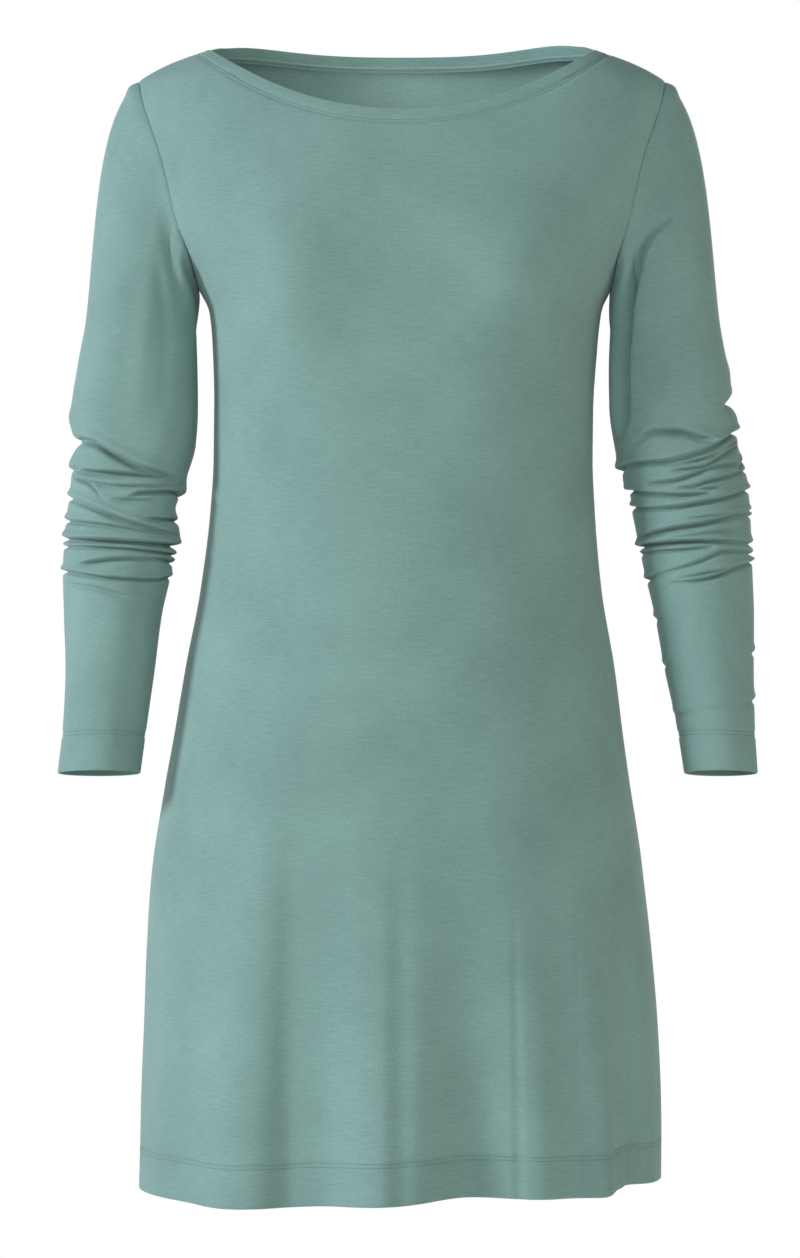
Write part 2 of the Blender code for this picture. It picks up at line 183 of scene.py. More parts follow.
# Counts and steps of the cloth's grids
FRONT_ACROSS = 300
BACK_ACROSS = 200
PANEL_GIRTH = 420.0
EDGE_STEPS = (0.0, 0.35, 0.8, 1.4, 2.2)
NECK_SPREAD = 64
NECK_FAN = 12.0
FAN_FROM = 0.5
FAN_DROP = 5.0
BODY_ROWS = 175
SLEEVE_ROUND = 200
HEAD_ROWS = 60
HEAD_EDGE_ROWS = (0, 0.003, 0.007, 0.012, 0.02)
HEAD_ROWS_FROM = 0.03
PLAIN_STEP = 2.4
CREASE_STEP = 0.6
TURN_STEPS = (0.0, 0.5, 1.1, 1.9, 3.0, 4.5, 6.5)
TURN_ROWS_FROM = 9.0
TURN_ROWS_END = 5.0
TURN_ROW_STEP = 3.0
PAST_TURN = (1.6, 3.2)
BESIDE_ROW = 0.8
LEAST_STEP = 0.3
ROUND_FOLD = 6
INSIDE_TURN = 7

# Samples of the lines that the grids start from
NECK_SAMPLES = 721
NECK_LINE_SAMPLES = 900
NECK_LINE_ROWS = 24
SHOULDER_SAMPLES = 61
CHEST_SAMPLES = 241
CHEST_CLOSE = 1.3
ARMHOLE_SAMPLES = 400
LEAVE_STEPS = 6
LEAST_SLANT = 0.16
SLANT_SMOOTHED = 21
FAR = 99.0

SECTION_COLUMNS = ("height", "half_width", "front_depth", "back_depth", "centre_x")
SECTIONS = (
    (6, 144.5, 44, 56, 0.8),
    (0, 148.0, 45, 57, 0.8),
    (-5, 160.5, 48, 60, 0.8),
    (-11, 176, 53, 64, 0.8),
    (-18, 190, 58, 68, 0.8),
    (-25, 200, 61, 71, 0.8),
    (-43, 208, 69, 78, 0.8),
    (-62, 209, 77, 84, 0.8),
    (-84, 207, 85, 90, 0.8),
    (-110, 202, 92, 95, 1.0),
    (-130, 193, 96, 97, 1.2),
    (-150, 180, 99, 98, 1.8),
    (-170, 163.5, 101, 97, 2.4),
    (-182, 157, 102, 96, 3.0),
    (-200, 148.8, 102, 94, 3.3),
    (-228, 146, 99, 89, 3.0),
    (-274, 144, 93, 80, 2.0),
    (-310, 144, 91, 75, 1.6),
    (-350, 146, 93, 76, 1.2),
    (-410, 152.3, 99, 89, 0),
    (-470, 163, 106, 105, -0.8),
    (-520, 170.3, 110, 115, -1.9),
    (-562, 177, 114, 120, -2.8),
    (-620, 185.8, 119, 123, -3.0),
    (-684, 191.6, 125, 128, -1.6),
    (-745, 195.2, 131, 133, -0.2),
    (-806, 197.6, 137, 138, 0),
    (-867, 198.2, 142, 142, -0.8),
)

# The armhole seam: height and half width
ARMHOLE = (
    (-25, 200),
    (-43, 196),
    (-62, 189.5),
    (-84, 182),
    (-106, 176.5),
    (-127, 172),
    (-141, 168),
    (-158, 161.5),
    (-174, 158),
    (-182, 157),
)

# The bust: x, height, spread across and upright, and rise
BUST = (
    (-96, -186, 42, 60, 14),
    (92, -186, 42, 60, 14),
    (0, -196, 36, 50, -2),
)

# Folds of the skirt: x at the hem and at the top, height of the top, half width, and rise at the hem
FRONT_FOLDS = (
    (-124, -96, -500, 28, 10),
    (-62, -52, -520, 26, -14),
    (-12, -14, -560, 25, 12),
    (56, 40, -540, 27, -16),
    (104, 84, -640, 19, 7),
    (148, 120, -560, 18, 11),
    (181, 150, -600, 16, -8),
)
BACK_FOLDS = (
    (-160, -124, -590, 20, 8),
    (-116, -94, -530, 27, -13),
    (-64, -50, -600, 22, 10),
    (-16, -18, -650, 20, -9),
    (34, 22, -540, 29, 13),
    (94, 74, -570, 25, -14),
    (148, 120, -610, 20, 9),
)

# The line of the hem: x and height
HEM_LINE = (
    (-200, -862.5),
    (-122, -867),
    (-62, -865),
    (0, -862.5),
    (52, -858.5),
    (98, -859.5),
    (144, -860),
    (164, -856.5),
    (200, -855),
)

# The arms of the sleeves: height, x of the outer and inner side, front and back depth, y of the middle
SLEEVE_LEFT = (
    (-212, 242.5, 160, 50, 50, 1),
    (-243, 248, 159, 48, 49, 1),
    (-274, 252.5, 159.5, 46, 48, 0),
    (-300, 255.5, 162, 45, 47, -2),
    (-330, 263, 171, 45, 46, -5),
    (-360, 265, 177, 44, 44, -9),
    (-395, 266, 184, 41, 41, -14),
    (-430, 267, 192, 38, 38, -19),
    (-470, 266.5, 199, 34.5, 34.5, -24),
    (-510, 267, 207.5, 31.5, 31.5, -28),
    (-548, 269, 213.5, 30, 30, -31),
)
SLEEVE_RIGHT = (
    (-212, 240, 156, 50, 50, 1),
    (-243, 246, 155, 48, 49, 1),
    (-274, 250, 154.5, 46, 48, 0),
    (-300, 249, 156, 45, 47, -2),
    (-330, 250.5, 164, 45, 46, -5),
    (-360, 254, 168.5, 44, 44, -9),
    (-395, 256, 173.5, 41, 41, -14),
    (-430, 255, 181, 38, 38, -19),
    (-470, 253.5, 186, 34.5, 34.5, -24),
    (-510, 255, 191.5, 31.5, 31.5, -28),
    (-548, 259, 196.5, 30, 30, -31),
)

# Creases of the sleeves: half width, bulge, and rows of turn (0 outer side, 90 front), height and depth
CREASES_RIGHT = (
    (3.4, 2.2, ((-20, -295, 0), (4, -298, 2.4), (26, -297, 2.6), (48, -299, 4.2), (77, -309.5, 4.4),
     (103, -318.5, 4.0), (133, -324.5, 2.6), (158, -329, 0.6), (176, -332, 0))),
    (2.4, 1.6, ((-30, -322, 0), (0, -320, 2.8), (18, -319, 1.2), (40, -317, 0))),
    (3.0, 0.8, ((30, -321, 0), (48, -321.5, 2.8), (80, -323, 3.4), (105, -324.5, 3.0), (128, -326, 1.4),
     (142, -327, 0))),
    (2.2, 0.9, ((18, -324, 0), (34, -327, 1.8), (60, -330.5, 1.6), (82, -332.5, 1.3), (110, -332.6, 1.6),
     (150, -331, 0.8), (170, -331, 0))),
    (1.8, 1.2, ((8, -323, 0), (22, -325, 1.6), (44, -329, 1.8), (58, -334, 1.6), (66, -340, 0.6),
     (72, -345, 0))),
    (2.6, 1.4, ((95, -341, 0), (106, -337.5, 2.4), (140, -336.5, 3.0), (170, -338, 3.8), (196, -341, 2.0),
     (225, -343, 0))),
    (2.8, 0.4, ((78, -342, 0), (96, -343, 1.6), (118, -343, 1.2), (135, -343, 0))),
    (2.6, 2.6, ((-40, -338, 0), (-5, -340, 2.4), (30, -343, 2.4), (62, -349.4, 2.8), (84, -355.8, 3.2),
     (106, -361, 3.2), (134, -366, 2.4), (160, -369, 0.8), (175, -370, 0))),
    (2.2, 1.8, ((-45, -355, 0), (-8, -357.5, 2.2), (22, -358.8, 2.4), (54, -360.4, 2.2), (84, -363, 1.8),
     (118, -367, 1.4), (150, -369, 0))),
    (2.4, 0.6, ((112, -357, 0), (132, -357.4, 2.4), (168, -358, 3.0), (195, -359, 1.6), (220, -360, 0))),
    (2.6, 3.2, ((-60, -368, 0), (-6, -371.5, 2.8), (40, -372.8, 3.2), (92, -374.4, 3.6),
     (128, -375.8, 3.8), (172, -377.2, 3.8), (205, -378, 2.2), (240, -379, 0))),
    (1.9, 1.8, ((-50, -376, 0), (-8, -377.4, 2.6), (40, -377.9, 2.0), (92, -379.4, 2.2),
     (128, -381.6, 2.8), (172, -384, 3.2), (200, -385, 1.6), (226, -386, 0))),
    (2.4, 1.5, ((46, -391.5, 0), (64, -389.8, 2.2), (92, -387.5, 2.0), (130, -387, 1.6),
     (172, -389.4, 3.0), (198, -391, 1.4), (222, -392, 0))),
    (2.0, 2.2, ((-56, -394, 0), (-8, -396.4, 3.0), (24, -396.6, 2.0), (56, -399.2, 2.2), (90, -402, 2.2),
     (140, -403, 1.8), (172, -401, 2.0), (205, -402, 0))),
    (3.0, 0.6, ((24, -406, 0), (46, -407, 1.2), (70, -409, 1.4), (98, -414, 1.0), (120, -418, 0))),
    (3.2, 2.4, ((186, -334, 0), (215, -322, 2.6), (250, -309, 3.6), (290, -299, 3.4), (325, -292, 2.0),
     (348, -290, 0))),
    (2.8, 1.8, ((194, -352, 0), (225, -342, 2.6), (262, -333, 3.0), (300, -327, 2.2), (335, -324, 0))),
    (2.6, 1.6, ((196, -366, 0), (232, -360, 2.4), (266, -352, 3.0), (305, -345, 2.6), (340, -340, 0))),
    (2.8, 2.2, ((200, -379, 0), (235, -374, 2.8), (275, -367, 3.4), (312, -364, 2.8), (345, -364, 0))),
    (2.4, 1.6, ((190, -391, 0), (230, -388, 2.6), (270, -382, 2.6), (306, -380, 2.0), (340, -379, 0))),
    (2.6, 1.4, ((205, -404, 0), (244, -402, 2.0), (284, -398, 2.2), (322, -395, 0))),
)
CREASES_LEFT = (
    (4.2, 1.8, ((-34, -268, 0), (-4, -266, 3.8), (22, -270, 1.6), (40, -275, 0))),
    (3.6, 1.4, ((50, -299, 0), (68, -296, 2.6), (90, -291.6, 3.0), (112, -291.6, 2.2), (128, -297, 1.0),
     (142, -301, 0))),
    (2.6, 3.0, ((-30, -287, 0), (0, -290.4, 3.4), (20, -292.4, 2.6), (42, -298.5, 2.6), (66, -305.5, 2.2),
     (86, -310.5, 2.2), (112, -314.6, 2.4), (140, -315.4, 2.4), (160, -317, 1.8), (186, -319.5, 3.6),
     (214, -322, 1.6), (240, -324, 0))),
    (2.6, 0.2, ((4, -297, 0), (16, -298.5, 2.6), (28, -301, 2.0), (44, -303, 0))),
    (2.6, 0.6, ((36, -303, 0), (56, -308.5, 1.6), (76, -313, 2.2), (96, -316, 1.4), (108, -317, 0))),
    (2.0, 1.6, ((2, -300, 0), (14, -302, 2.4), (34, -305.5, 1.8), (54, -311.5, 2.0), (76, -318, 2.2),
     (94, -320, 1.6), (106, -321, 0))),
    (2.2, 1.2, ((22, -315, 0), (36, -315.6, 1.8), (62, -318, 2.0), (84, -323.5, 2.2), (104, -328.4, 2.0),
     (124, -330.3, 1.4), (138, -331, 0))),
    (2.0, 1.4, ((-16, -309, 0), (2, -311, 1.8), (20, -316, 2.6), (30, -320, 0.8), (38, -323, 0))),
    (1.9, 1.1, ((-20, -318, 0), (4, -320, 1.2), (22, -321.2, 1.8), (44, -324.2, 1.6), (70, -328.5, 2.0),
     (92, -333.4, 1.6), (106, -334, 0))),
    (1.8, 0.6, ((60, -333, 0), (72, -334, 1.8), (86, -334.6, 0.8), (96, -335, 0))),
    (2.3, 1.6, ((66, -337, 0), (84, -338.8, 1.8), (104, -339.4, 2.6), (130, -338.4, 2.2),
     (160, -336.6, 2.6), (182, -335.6, 3.4), (214, -335, 1.4), (240, -335, 0))),
    (2.2, 2.4, ((-44, -333, 0), (-6, -334.6, 2.2), (18, -335.2, 1.8), (40, -338.4, 2.0),
     (62, -342.2, 2.4), (84, -345.4, 2.6), (108, -348.6, 2.2), (134, -349.6, 1.6), (160, -349, 2.0),
     (184, -348, 2.4), (214, -348, 0))),
    (1.8, 1.0, ((-36, -348, 0), (-2, -349.6, 2.2), (14, -350.4, 1.2), (36, -351, 1.2), (60, -353.6, 1.4),
     (84, -356, 1.0), (106, -358, 0))),
    (2.4, 2.2, ((-38, -355, 0), (-4, -355.4, 2.4), (16, -353, 1.6), (40, -354, 1.8), (62, -357.2, 2.4),
     (86, -361.4, 2.8), (108, -364, 2.8), (136, -368, 2.4), (160, -371, 1.4), (180, -372, 0))),
    (2.4, 0.6, ((36, -362, 0), (60, -366.4, 1.0), (84, -368.6, 1.2), (106, -371, 1.0), (122, -372, 0))),
    (2.4, 3.0, ((-40, -375, 0), (-4, -375.8, 2.0), (30, -374.8, 1.2), (62, -374.2, 2.0), (84, -374, 3.4),
     (104, -374.6, 4.0), (134, -376.2, 3.8), (178, -378, 4.0), (206, -379, 2.2), (236, -380, 0))),
    (2.0, 0.9, ((70, -378, 0), (84, -378.6, 1.4), (108, -380.4, 2.0), (140, -381.6, 1.8),
     (176, -383, 2.2), (200, -384, 0))),
    (2.2, 1.2, ((-40, -382, 0), (-6, -383.4, 2.8), (16, -383, 1.6), (44, -381.2, 1.4), (62, -381.2, 1.8),
     (74, -384, 1.6), (90, -389, 1.6), (108, -393.4, 1.2), (134, -398, 0.6), (150, -400, 0))),
    (2.0, 2.6, ((-48, -386, 0), (-6, -388, 3.2), (14, -390, 2.4), (36, -392.4, 1.8), (56, -396, 2.0),
     (74, -400, 2.6), (92, -403, 2.0), (116, -405, 0.8), (134, -406, 0))),
    (1.9, 0.7, ((24, -389.6, 0), (40, -391, 1.0), (60, -394.4, 1.4), (84, -397.8, 1.6),
     (104, -400.6, 1.0), (122, -403, 0))),
    (2.2, 1.4, ((132, -398, 0), (156, -401, 1.4), (180, -403, 2.6), (204, -404, 1.0), (228, -405, 0))),
    (2.4, 1.2, ((150, -430, 0), (172, -432, 1.6), (200, -434, 1.0), (220, -435, 0))),
    (2.4, 1.2, ((-24, -456, 0), (0, -457.6, 1.7), (28, -459.5, 0.7), (52, -461, 0))),
    (2.4, 0.9, ((140, -464, 0), (166, -467, 1.4), (192, -468, 0.8), (214, -469, 0))),
    (2.6, 1.3, ((-20, -492, 0), (0, -493.6, 1.8), (28, -495, 1.0), (70, -498, 0.6), (112, -501, 0.5),
     (146, -503, 0.9), (168, -504, 1.4), (190, -505, 0))),
    (3.2, 2.4, ((200, -326, 0), (232, -314, 2.8), (266, -303, 3.6), (300, -294, 2.8), (332, -288, 0))),
    (2.6, 1.6, ((198, -338, 0), (230, -331, 2.6), (264, -321, 2.8), (300, -313, 2.4), (336, -309, 0))),
    (2.8, 1.8, ((204, -352, 0), (240, -345, 2.4), (276, -337, 3.0), (312, -332, 2.0), (340, -330, 0))),
    (2.4, 2.0, ((198, -367, 0), (232, -364, 2.6), (270, -356, 3.0), (310, -352, 2.4), (344, -352, 0))),
    (2.6, 1.8, ((214, -382, 0), (250, -378, 2.8), (288, -374, 3.0), (322, -374, 2.0), (348, -375, 0))),
    (2.4, 1.4, ((196, -398, 0), (230, -395, 2.0), (268, -390, 2.6), (306, -388, 2.0), (340, -387, 0))),
)

# Dents of the sleeves: turn, height, half of each size, and depth. Below zero, the depth is a bulge
DENTS_RIGHT = (
    (0, -280, 34, 8, -2.4),
    (0, -299, 34, 6, 4.6),
    (2, -313, 26, 4.5, -1.8),
    (184, -333, 34, 6, -1.6),
    (186, -348, 44, 9, 4.2),
    (184, -369, 34, 6, -2.0),
)
DENTS_LEFT = (
    (0, -245, 30, 9, -1.4),
    (-4, -267, 30, 6, 3.2),
    (0, -281, 30, 6, -2.0),
    (184, -313, 30, 5, -1.4),
    (182, -328, 34, 6, -1.6),
    (186, -343, 34, 5, 1.6),
)

# Soft folds down the sleeves: half width on either side in degrees, and height, turn and depth along it
SLEEVE_FOLDS_RIGHT = (
    (9, 9, ((-150, 108, 0), (-180, 114, 1.2), (-222, 121, 1.5), (-262, 120, 1.0), (-284, 114, 0))),
    (16, 12, ((-150, 160, 0), (-172, 160, -2.0), (-200, 162, -3.0), (-250, 162, -2.6), (-290, 160, -1.0),
     (-305, 160, 0))),
    (6, 7, ((-140, 152, 0), (-158, 156, 2.8), (-172, 164, 4.2), (-186, 170, 2.4), (-215, 170, 0.6),
     (-260, 168, 0))),
    (10, 10, ((-170, 94, 0), (-215, 96, -1.4), (-262, 94, -1.2), (-296, 92, 0))),
    (9, 9, ((-262, 22, 0), (-276, 24, 2.0), (-286, 30, 1.6), (-300, 36, 0))),
)
SLEEVE_FOLDS_LEFT = (
    (4.5, 10, ((-126, 62, 0), (-133, 74, 2.6), (-144, 104, 4.6), (-157, 121, 7.0), (-170, 128, 9.0),
     (-185, 133, 12.0), (-207, 138, 15.0), (-238, 143, 17.0), (-262, 144, 17.0), (-278, 145, 15.0),
     (-288, 150, 10.0), (-296, 159, 4.0), (-304, 168, 0))),
    (8, 5, ((-165, 160, 0), (-200, 163, -2.4), (-270, 166, -3.0), (-300, 168, 0))),
    (18, 18, ((-165, 184, 0), (-200, 184, -0.8), (-270, 184, -1.0), (-300, 184, 0))),
    (10, 10, ((-150, 84, 0), (-196, 92, -1.2), (-250, 94, -1.2), (-282, 92, 0))),
    (8, 8, ((-240, 34, 0), (-270, 30, 1.4), (-286, 30, 1.0), (-300, 34, 0))),
)

# Smaller folds of the front: half width on either side, and height, x and depth along it
BODY_FOLDS = (
    (18, 18, ((-120, -112, 0), (-170, -112, -2.6), (-230, -115, -2.4), (-300, -119, -1.8),
     (-420, -119, -1.7), (-520, -122, 0))),
    (13, 13, ((-570, -118, 0), (-660, -122, -1.4), (-870, -130, -2.4))),
    (12, 12, ((-590, -150, 0), (-700, -156, 1.2), (-870, -162, 2.0))),
    (13, 13, ((-560, -80, 0), (-650, -82, 2.6), (-800, -84, 4.2), (-870, -86, 4.6))),
    (8, 8, ((-590, -22, 0), (-680, -24, -1.4), (-870, -25, -2.6))),
    (9, 9, ((-590, 0, 0), (-680, 0, 1.6), (-870, 1, 3.0))),
    (7, 5, ((-590, 76, 0), (-680, 76, -1.4), (-800, 77, -2.4), (-870, 78, -2.8))),
    (6, 8, ((-610, 84, 0), (-700, 85, 1.2), (-800, 86, 1.9), (-870, 86, 2.2))),
    (20, 13, ((-570, 108, 0), (-680, 112, -3.0), (-800, 116, -5.0), (-870, 118, -5.4))),
    (7, 8, ((-590, 130, 0), (-680, 131, 1.0), (-800, 133, 1.6), (-870, 134, 1.8))),
    (7, 7, ((-640, 138, 0), (-740, 140, -2.0), (-870, 143, -3.2))),
    (10, 10, ((-590, 162, 0), (-680, 165, 2.0), (-870, 171, 4.2))),
)

SECTION = dict(zip(SECTION_COLUMNS, np.array(SECTIONS, float).T))


def blend(t, start, leave, end, arrive):
    """A cubic curve from start to end, at shares t of the way, with its pull at each end."""
    return (
        (2 * t**3 - 3 * t**2 + 1) * start
        + (t**3 - 2 * t**2 + t) * leave
        + (-2 * t**3 + 3 * t**2) * end
        + (t**3 - t**2) * arrive
    )


def smooth(x, xs, ys):
    """A curve through the points (xs, ys), rising and falling only where they do."""
    order = np.argsort(xs)
    xs, ys = xs[order], ys[order]
    x = np.clip(x, xs[0], xs[-1])
    step = np.diff(xs)
    slope = np.diff(ys) / step
    tangent = np.zeros_like(ys)
    same = slope[:-1] * slope[1:] > 0
    both = np.where(same, slope[:-1] + slope[1:], 1.0)
    tangent[1:-1] = np.where(same, 2 * slope[:-1] * slope[1:] / both, 0.0)
    tangent[0], tangent[-1] = slope[0], slope[-1]
    i = np.clip(np.searchsorted(xs, x) - 1, 0, len(step) - 1)
    h = step[i]
    return blend((x - xs[i]) / h, ys[i], h * tangent[i], ys[i + 1], h * tangent[i + 1])


def section(name, height):
    return smooth(height, SECTION["height"], SECTION[name])


def armhole_width(height):
    return smooth(height, *np.array(ARMHOLE, float).T)


def unit(v):
    return v / np.maximum(np.linalg.norm(v, axis=-1, keepdims=True), 1e-9)


def nearness(away, width):
    """1 on a line, and less the further away from it, for a line of this half width."""
    return np.exp(-((away / width) ** 2))


def around(share):
    """How far round a quarter section a point lies, for its share of the half width."""
    return np.sign(share) * np.arcsin(np.clip(np.abs(share), 0, 1) ** (ROUNDNESS / 2)) * 2 / math.pi


def skirt_folds(rows, across, height):
    """How far the folds of the skirt stand out from the plain form."""
    hem_width = section("half_width", HEM_HEIGHT)
    quarter = section("half_width", height) * QUARTER_GIRTH
    out = np.zeros_like(across)
    for x_hem, x_top, top, width, rise in rows:
        down = np.clip((top - height) / (top - HEM_HEIGHT), 0, 1)
        at_hem, at_top = around(x_hem / hem_width), around(x_top / hem_width * FOLD_TOP_SPREAD)
        line = at_top + (at_hem - at_top) * down
        out += rise * down**FOLD_GROWTH * nearness((across - line) * quarter, width)
    return out


def on_body(side, x, height):
    """The point of the front or back at this x (from the body's middle) and height."""
    half = section("half_width", height)
    share = np.clip(x / half, -1, 1)
    depth = section("front_depth" if side == FRONT else "back_depth", height)
    reach = (1 - np.abs(share) ** ROUNDNESS) ** (1 / ROUNDNESS)
    y = depth * reach
    if side == FRONT:
        for at_x, at_height, spread_x, spread_z, rise in BUST:
            swell = nearness(x - at_x, spread_x) * nearness(height - at_height, spread_z)
            y = y + rise * swell * np.minimum(1, reach * BUST_FADE)
    stand_out = skirt_folds(FRONT_FOLDS if side == FRONT else BACK_FOLDS, around(share), height)
    lean_x = np.sign(share) * np.abs(share) ** (ROUNDNESS - 1) / half
    lean_y = np.maximum(reach, 1e-6) ** (ROUNDNESS - 1) / depth
    long = np.hypot(lean_x, lean_y)
    x = x + stand_out * lean_x / long * np.minimum(1, reach * FOLD_FADE)
    y = y + stand_out * lean_y / long
    middle = section("centre_x", height)
    return np.stack([x + middle, side * (y + SEAM_GAP / 2), height + 0 * x], axis=-1)


def body_facing(side, x, height):
    """The outward direction of the plain body form."""
    depth_name = "front_depth" if side == FRONT else "back_depth"
    half, depth = section("half_width", height), section(depth_name, height)
    share = np.clip(x / half, -1, 1)
    reach = (1 - np.abs(share) ** ROUNDNESS) ** (1 / ROUNDNESS)
    half_slope, depth_slope = (
        (section(name, height + 1) - section(name, height - 1)) / 2 for name in ("half_width", depth_name)
    )
    out_x = np.sign(share) * np.abs(share) ** (ROUNDNESS - 1) / half
    out_y = side * reach ** (ROUNDNESS - 1) / depth
    out_z = -(np.abs(share) ** ROUNDNESS * half_slope / half + reach**ROUNDNESS * depth_slope / depth)
    return unit(np.stack([out_x, out_y, out_z], axis=-1))


def gone_along(points):
    """The distance along a line of points to each of them. Lines run down the first axis."""
    steps = np.linalg.norm(np.diff(points, axis=0), axis=-1)
    return np.concatenate([np.zeros_like(steps[:1]), np.cumsum(steps, axis=0)])


def at_distances(points, gone, distances):
    """A line's points, or their directions, at these distances along it."""
    return np.stack([np.interp(distances, gone, points[:, k]) for k in range(points.shape[1])], axis=1)


def top_edge(side, across):
    """The (x, height) of the neckline and shoulder seams at each share of the way across, -1 to 1."""
    neck_share = 1 - SHOULDER_SHARE
    neck_x = -NECK_HALF * np.cos(np.linspace(0, math.pi, NECK_SAMPLES))
    drop = NECK_DROP if side == FRONT else BACK_NECK_DROP
    neck_height = -drop * (1 - np.abs(neck_x / NECK_HALF) ** NECK_CURVE)
    if side == BACK:
        swell = np.sin(math.pi * np.abs(neck_x / NECK_HALF) ** 3)
        neck_height += BACK_NECK_RISE * (1 + BACK_NECK_TILT * neck_x / NECK_HALF) * swell
        in_from_corner = NECK_HALF - np.abs(neck_x)
        neck_height += CORNER_RISE * nearness(in_from_corner - CORNER_RISE_IN, CORNER_RISE_WIDTH)
    gone = gone_along(on_body(side, neck_x, neck_height))
    place = (np.clip(across / neck_share, -1, 1) + 1) / 2 * gone[-1]
    x, height = np.interp(place, gone, neck_x), np.interp(place, gone, neck_height)
    slope_height = SHOULDER_HEIGHT * np.linspace(0, 1, SHOULDER_SAMPLES)
    slope_x = section("half_width", slope_height)
    slope_x[0], slope_x[-1] = NECK_HALF, SHOULDER_HALF
    gone = gone_along(np.stack([slope_x, slope_height], axis=1))
    place = np.clip((np.abs(across) - neck_share) / SHOULDER_SHARE, 0, 1) * gone[-1]
    on_shoulder = np.abs(across) > neck_share
    x = np.where(on_shoulder, np.sign(across) * np.interp(place, gone, slope_x), x)
    height = np.where(on_shoulder, np.interp(place, gone, slope_height), height)
    return x, height


def across_shares(count, girth):
    """Shares of the way across a panel, close together beside its seams."""
    near = np.array(EDGE_STEPS) / (girth / 2)
    inner = np.linspace(-1 + near[-1], 1 - near[-1], count - 2 * len(near) + 2)
    return np.concatenate([near[:-1] - 1, inner, (1 - near[:-1])[::-1]])


def edge_distances(rows, turn):
    """Distances in from a turned edge where the grid has rows: one on each stitch line and its sides."""
    steps = list(TURN_STEPS)
    for row in rows:
        steps += [row - BESIDE_ROW, row, row + BESIDE_ROW]
    steps += list(np.arange(TURN_ROWS_FROM, turn - TURN_ROWS_END, TURN_ROW_STEP))
    steps += [turn + step for step in PAST_TURN]
    kept = []
    for step in sorted(steps):
        if not kept or step - kept[-1] > LEAST_STEP:
            kept.append(step)
    return np.array(kept)


def stitch_dip(distance, rows):
    """How far the cloth is drawn in beside its rows of stitches."""
    return sum(STITCH_DIP * nearness(distance - row, STITCH_DIP_WIDTH) for row in rows)


def distance_to(points, line):
    """The distance of each point of a grid from the nearest point of a line."""
    return np.array([np.linalg.norm(row[:, None] - line, axis=-1).min(axis=1) for row in points])


def contour(points, facing, distance, level):
    """The line on a grid where a distance passes a level, and the cloth's outward directions along it."""
    line, out = [], []
    for j in range(points.shape[1]):
        past = int(np.argmax(distance[:, j] >= level))
        if past == 0:
            continue
        part = (level - distance[past - 1, j]) / (distance[past, j] - distance[past - 1, j])
        line.append(points[past - 1, j] * (1 - part) + points[past, j] * part)
        out.append(facing[past - 1, j] * (1 - part) + facing[past, j] * part)
    return np.array(line), unit(np.array(out))


def panel_grid(side, count):
    """The points of the front or back, and how far they lie from the neck, the shoulders and the hem."""
    across = across_shares(count, PANEL_GIRTH)
    neck_share = 1 - SHOULDER_SHARE
    on_neck = np.abs(across) < neck_share
    top_x, top_height = top_edge(side, across)
    to_corner = np.where(
        on_neck,
        np.clip((np.abs(across) - FAN_FROM) / (neck_share - FAN_FROM), 0, 1) ** 2,
        (1 - np.abs(across)) / SHOULDER_SHARE,
    )
    fan = NECK_FAN * np.sign(across) * to_corner
    turn = across * math.pi / 2
    share = np.sign(turn) * np.abs(np.sin(turn)) ** (2 / ROUNDNESS)
    under = share * section("half_width", UNDERARM_HEIGHT)

    def chest(down):
        """The x and height of the cloth at these shares of the way down to the underarm."""
        height = top_height + down * (UNDERARM_HEIGHT - top_height)
        edge = armhole_width(SHOULDER_HEIGHT + down * (UNDERARM_HEIGHT - SHOULDER_HEIGHT))
        wide = (1 - down) * top_x / SHOULDER_HALF + down * under / under[-1]
        spread_out = fan * (1 - np.exp((height - top_height) / FAN_DROP)) * (1 - down) ** 2
        return wide * edge + spread_out, height

    down = np.linspace(0, 1, CHEST_SAMPLES)[:, None] ** CHEST_CLOSE
    places = on_body(side, *chest(down))
    gone = gone_along(places)
    leave = unit(places[LEAVE_STEPS] - places[0])
    along = unit(np.gradient(places[0], axis=0))
    slant = np.sqrt(np.maximum(1 - (leave * along).sum(-1) ** 2, LEAST_SLANT))
    kernel = np.hanning(SLANT_SMOOTHED) / np.hanning(SLANT_SMOOTHED).sum()
    slant = np.convolve(np.pad(slant, SLANT_SMOOTHED // 2, mode="edge"), kernel, mode="valid")
    near = edge_distances(NECK_ROWS, NECK_TURN)
    top_rows = []
    for j in range(len(across)):
        close = near / slant[j]
        spread = np.linspace(close[-1], gone[-1, j], NECK_SPREAD + 1)[1:]
        top_rows.append(np.interp(np.concatenate([close, spread]), gone[:, j], down[:, 0]))
    grid_x, grid_height = (list(rows) for rows in chest(np.array(top_rows).T))
    from_hem = edge_distances(HEM_ROWS, HEM_TURN)[::-1]
    levels = np.concatenate([
        np.linspace(UNDERARM_HEIGHT, HEM_HEIGHT + from_hem[0], BODY_ROWS)[1:-1],
        HEM_HEIGHT + from_hem,
    ])
    for level in levels:
        gone_down = (UNDERARM_HEIGHT - level) / (UNDERARM_HEIGHT - HEM_HEIGHT)
        x = share * section("half_width", level)
        swing = smooth(x, *np.array(HEM_LINE, float).T) - HEM_HEIGHT
        grid_x.append(x)
        grid_height.append(level + swing * gone_down**HEM_SWING)
    points = on_body(side, np.array(grid_x), np.array(grid_height))
    points[0, ~on_neck, 1] = side * SEAM_GAP / 2
    neck_line = on_body(side, *top_edge(side, np.linspace(-neck_share, neck_share, NECK_LINE_SAMPLES)))
    near_top = len(near) + NECK_LINE_ROWS
    neck_distance, shoulder_distance = np.full((2, *points.shape[:2]), FAR)
    neck_distance[:near_top] = distance_to(points[:near_top], neck_line)
    shoulder_distance[:near_top] = distance_to(points[:near_top], points[0][~on_neck])
    hem_distance = np.concatenate([np.full(len(points) - len(from_hem), FAR), from_hem])
    return points, neck_distance, shoulder_distance, hem_distance, on_neck


